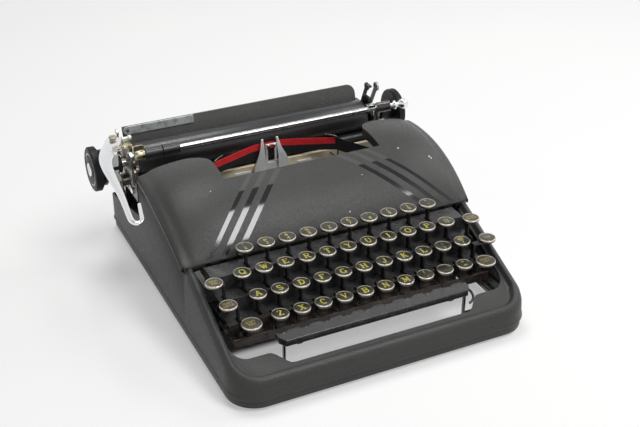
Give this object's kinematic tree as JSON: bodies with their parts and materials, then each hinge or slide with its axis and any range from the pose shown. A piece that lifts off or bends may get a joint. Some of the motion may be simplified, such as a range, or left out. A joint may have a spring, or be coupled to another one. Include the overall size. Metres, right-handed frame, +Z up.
{
  "type": "portable typewriter",
  "caption": "Portable manual typewriter with a sloped crinkle-black case, hinged ribbon cover, round glass-topped keys, sliding carriage and platen; types on paper.",
  "frame": {"origin": "on the desk, at the middle of the case's width and depth", "axes": "+X to the typist's right along the platen, +Y from the space bar to the rear, +Z up"},
  "size_m": [0.3231, 0.33, 0.129],
  "materials": {
    "case_paint": "matt crinkle enamel",
    "black_enamel": "gloss enamel",
    "nickel": "polished nickel plate",
    "chrome": "polished",
    "steel": "satin",
    "brass": "worn satin",
    "rubber": "matt",
    "black_plastic": "gloss",
    "ribbon": "inked cotton",
    "key_metal": "black oxide with nickel rings"
  },
  "bodies": {
    "machine": {"case": "case_paint", "frame": "steel", "feet": "rubber", "lever_comb": "black_enamel", "key_well": "black_enamel", "fulcrum_rod": "nickel", "carriage_rails": "brass", "basket_guides": "steel", "spool_cups": "black_enamel", "cover_brackets": "nickel", "bell": "nickel", "ribbon": "ribbon"},
    "cover": {"ribbon_cover": "case_paint"},
    "numbers_bank": {"keys_numbers": "key_metal"},
    "upper_bank": {"keys_upper": "key_metal"},
    "home_bank": {"keys_home": "key_metal"},
    "lower_bank": {"keys_lower": "key_metal"},
    "margin_release": {"margin_release_key": "key_metal"},
    "back_spacer": {"back_spacer_key": "key_metal"},
    "shift_lock": {"shift_lock_key": "key_metal"},
    "tabulator": {"tabulator_key": "key_metal"},
    "left_shift": {"shift_key_left": "key_metal"},
    "right_shift": {"shift_key_right": "key_metal"},
    "spacer": {"space_bar": "black_plastic"},
    "basket": {"type_segment": "steel", "typebars": "steel", "type_rest": "brass", "type_guide": "steel"},
    "strike_bar": {"strike_typebar": "steel"},
    "vibrator": {"ribbon_vibrator": "steel"},
    "left_spool": {"spool_left": "steel"},
    "right_spool": {"spool_right": "steel"},
    "carriage": {"carriage_bed": "steel", "carriage_end_left": "nickel", "carriage_end_right": "nickel", "carriage_rack": "nickel", "paper_table": "case_paint", "margin_rack": "steel", "carriage_screws": "chrome"},
    "platen": {"platen_roller": "rubber", "platen_shaft": "nickel", "knob_left": "black_plastic", "knob_right": "black_plastic", "ratchet_wheel": "steel"},
    "front_feed": {"feed_roller_front": "rubber"},
    "rear_feed": {"feed_roller_rear": "rubber"},
    "return_arm": {"return_lever": "chrome"},
    "bail": {"paper_bail": "chrome"},
    "bail_wheels": {"bail_rollers": "rubber"},
    "support": {"paper_support": "steel"},
    "paper_release": {"paper_release_lever": "black_enamel"},
    "carriage_release": {"carriage_release_lever": "nickel"},
    "line_space": {"line_space_lever": "nickel"},
    "left_margin": {"margin_stop_left": "nickel"},
    "right_margin": {"margin_stop_right": "nickel"},
    "drum": {"mainspring_drum": "nickel"},
    "pinion": {"escapement_pinion": "brass"}
  },
  "joints": [
    {"name": "cover_hinge", "type": "hinge", "parent": "machine", "child": "cover", "pos_m": [0, -0.05, 0.0695], "axis": [1, 0, 0], "range_deg": [0, 35]},
    {"name": "numbers_press", "type": "hinge", "parent": "machine", "child": "numbers_bank", "pos_m": [0, 0.12, 0.0155], "axis": [1, 0, 0], "range_deg": [0, 2.4], "stiffness_Nm_per_rad": 6, "springref_deg": -14.32},
    {"name": "upper_press", "type": "hinge", "parent": "machine", "child": "upper_bank", "pos_m": [0, 0.12, 0.0155], "axis": [1, 0, 0], "range_deg": [0, 2.2], "stiffness_Nm_per_rad": 6, "springref_deg": -14.32},
    {"name": "home_press", "type": "hinge", "parent": "machine", "child": "home_bank", "pos_m": [0, 0.12, 0.0155], "axis": [1, 0, 0], "range_deg": [0, 2], "stiffness_Nm_per_rad": 6, "springref_deg": -14.32},
    {"name": "lower_press", "type": "hinge", "parent": "machine", "child": "lower_bank", "pos_m": [0, 0.12, 0.0155], "axis": [1, 0, 0], "range_deg": [0, 1.8], "stiffness_Nm_per_rad": 6, "springref_deg": -14.32},
    {"name": "margin_release_press", "type": "hinge", "parent": "machine", "child": "margin_release", "pos_m": [0, 0.12, 0.0155], "axis": [1, 0, 0], "range_deg": [0, 1.4], "stiffness_Nm_per_rad": 1.5, "springref_deg": -11.46},
    {"name": "back_space_press", "type": "hinge", "parent": "machine", "child": "back_spacer", "pos_m": [0, 0.12, 0.0155], "axis": [1, 0, 0], "range_deg": [0, 1.4], "stiffness_Nm_per_rad": 1.5, "springref_deg": -11.46},
    {"name": "shift_lock_press", "type": "hinge", "parent": "machine", "child": "shift_lock", "pos_m": [0, 0.12, 0.0155], "axis": [1, 0, 0], "range_deg": [0, 1.25], "stiffness_Nm_per_rad": 1.5, "springref_deg": -11.46},
    {"name": "tabulator_press", "type": "hinge", "parent": "machine", "child": "tabulator", "pos_m": [0, 0.12, 0.0155], "axis": [1, 0, 0], "range_deg": [0, 1.25], "stiffness_Nm_per_rad": 1.5, "springref_deg": -11.46},
    {"name": "shift_left_press", "type": "hinge", "parent": "machine", "child": "left_shift", "pos_m": [0, 0.12, 0.0155], "axis": [1, 0, 0], "range_deg": [0, 0.95], "stiffness_Nm_per_rad": 1.5, "springref_deg": -11.46},
    {"name": "shift_right_press", "type": "hinge", "parent": "machine", "child": "right_shift", "pos_m": [0, 0.12, 0.0155], "axis": [1, 0, 0], "range_deg": [0, 0.95], "stiffness_Nm_per_rad": 1.5, "springref_deg": -11.46},
    {"name": "space_press", "type": "hinge", "parent": "machine", "child": "spacer", "pos_m": [0, 0.12, 0.0155], "axis": [1, 0, 0], "range_deg": [0, 1.7], "stiffness_Nm_per_rad": 1.5, "springref_deg": -11.46},
    {"name": "basket_drop", "type": "slide", "parent": "machine", "child": "basket", "axis": [0, 0, 1], "range_m": [-0.0066, 0]},
    {"name": "type_strike", "type": "hinge", "parent": "basket", "child": "strike_bar", "pos_m": [0, 0.06386, 0.03337], "axis": [-1, 0, 0], "range_deg": [0, 80], "stiffness_Nm_per_rad": 0.01, "springref_deg": -11.46},
    {"name": "vibrator_lift", "type": "slide", "parent": "machine", "child": "vibrator", "axis": [0, 0, 1], "range_m": [0, 0.0045], "deforming": ["ribbon"]},
    {"name": "spool_left_turn", "type": "hinge", "parent": "machine", "child": "left_spool", "pos_m": [-0.1035, 0.015, 0.09], "axis": [0, 0, 1], "continuous": true},
    {"name": "spool_right_turn", "type": "hinge", "parent": "machine", "child": "right_spool", "pos_m": [0.1035, 0.015, 0.09], "axis": [0, 0, 1], "continuous": true},
    {"name": "carriage_slide", "type": "slide", "parent": "machine", "child": "carriage", "axis": [1, 0, 0], "range_m": [-0.0925, 0.1075]},
    {"name": "drum_turn", "type": "hinge", "parent": "machine", "child": "drum", "pos_m": [-0.078, 0.139, 0.042], "axis": [0, 1, 0], "continuous": true},
    {"name": "pinion_turn", "type": "hinge", "parent": "machine", "child": "pinion", "pos_m": [0, 0.108, 0.0488], "axis": [0, 1, 0], "continuous": true},
    {"name": "platen_turn", "type": "hinge", "parent": "carriage", "child": "platen", "pos_m": [0, 0.105, 0.0955], "axis": [1, 0, 0], "continuous": true},
    {"name": "feed_front_turn", "type": "hinge", "parent": "carriage", "child": "front_feed", "pos_m": [0, 0.08994, 0.08044], "axis": [1, 0, 0], "continuous": true},
    {"name": "feed_rear_turn", "type": "hinge", "parent": "carriage", "child": "rear_feed", "pos_m": [0, 0.12006, 0.08044], "axis": [1, 0, 0], "continuous": true},
    {"name": "return_swing", "type": "hinge", "parent": "carriage", "child": "return_arm", "pos_m": [-0.143, 0.103, 0.119], "axis": [0, 0, 1], "range_deg": [0, 35], "stiffness_Nm_per_rad": 0.3, "springref_deg": -11.46},
    {"name": "bail_swing", "type": "hinge", "parent": "carriage", "child": "bail", "pos_m": [0, 0.088, 0.086], "axis": [1, 0, 0], "range_deg": [0, 17], "stiffness_Nm_per_rad": 0.2, "springref_deg": -34.38},
    {"name": "bail_wheels_turn", "type": "hinge", "parent": "bail", "child": "bail_wheels", "pos_m": [0, 0.08833, 0.10876], "axis": [1, 0, 0], "continuous": true},
    {"name": "support_swing", "type": "hinge", "parent": "carriage", "child": "support", "pos_m": [-0.123, 0.1252, 0.117], "axis": [0, -1, 0], "range_deg": [0, 90]},
    {"name": "paper_release_pull", "type": "hinge", "parent": "carriage", "child": "paper_release", "pos_m": [0.118, 0.126, 0.09], "axis": [1, 0, 0], "range_deg": [0, 18], "stiffness_Nm_per_rad": 0.05, "springref_deg": -22.92},
    {"name": "carriage_release_pull", "type": "hinge", "parent": "carriage", "child": "carriage_release", "pos_m": [0.124, 0.124, 0.084], "axis": [1, 0, 0], "range_deg": [0, 12], "stiffness_Nm_per_rad": 0.05, "springref_deg": -22.92},
    {"name": "line_space_select", "type": "hinge", "parent": "carriage", "child": "line_space", "pos_m": [-0.133, 0.122, 0.092], "axis": [1, 0, 0], "range_deg": [-10, 10]},
    {"name": "margin_left_slide", "type": "slide", "parent": "carriage", "child": "left_margin", "axis": [1, 0, 0], "range_m": [0, 0.08]},
    {"name": "margin_right_slide", "type": "slide", "parent": "carriage", "child": "right_margin", "axis": [1, 0, 0], "range_m": [-0.08, 0]}
  ],
  "couplings": [
    {"joint": "shift_right_press", "follows": "shift_left_press", "ratio": 1},
    {"joint": "basket_drop", "follows": "shift_left_press", "m_per_rad": -0.39202},
    {"joint": "spool_right_turn", "follows": "spool_left_turn", "ratio": 1},
    {"joint": "drum_turn", "follows": "carriage_slide", "rad_per_m": 66.667},
    {"joint": "pinion_turn", "follows": "carriage_slide", "rad_per_m": 103.07},
    {"joint": "feed_front_turn", "follows": "platen_turn", "ratio": -3.2},
    {"joint": "feed_rear_turn", "follows": "platen_turn", "ratio": -3.2}
  ]
}
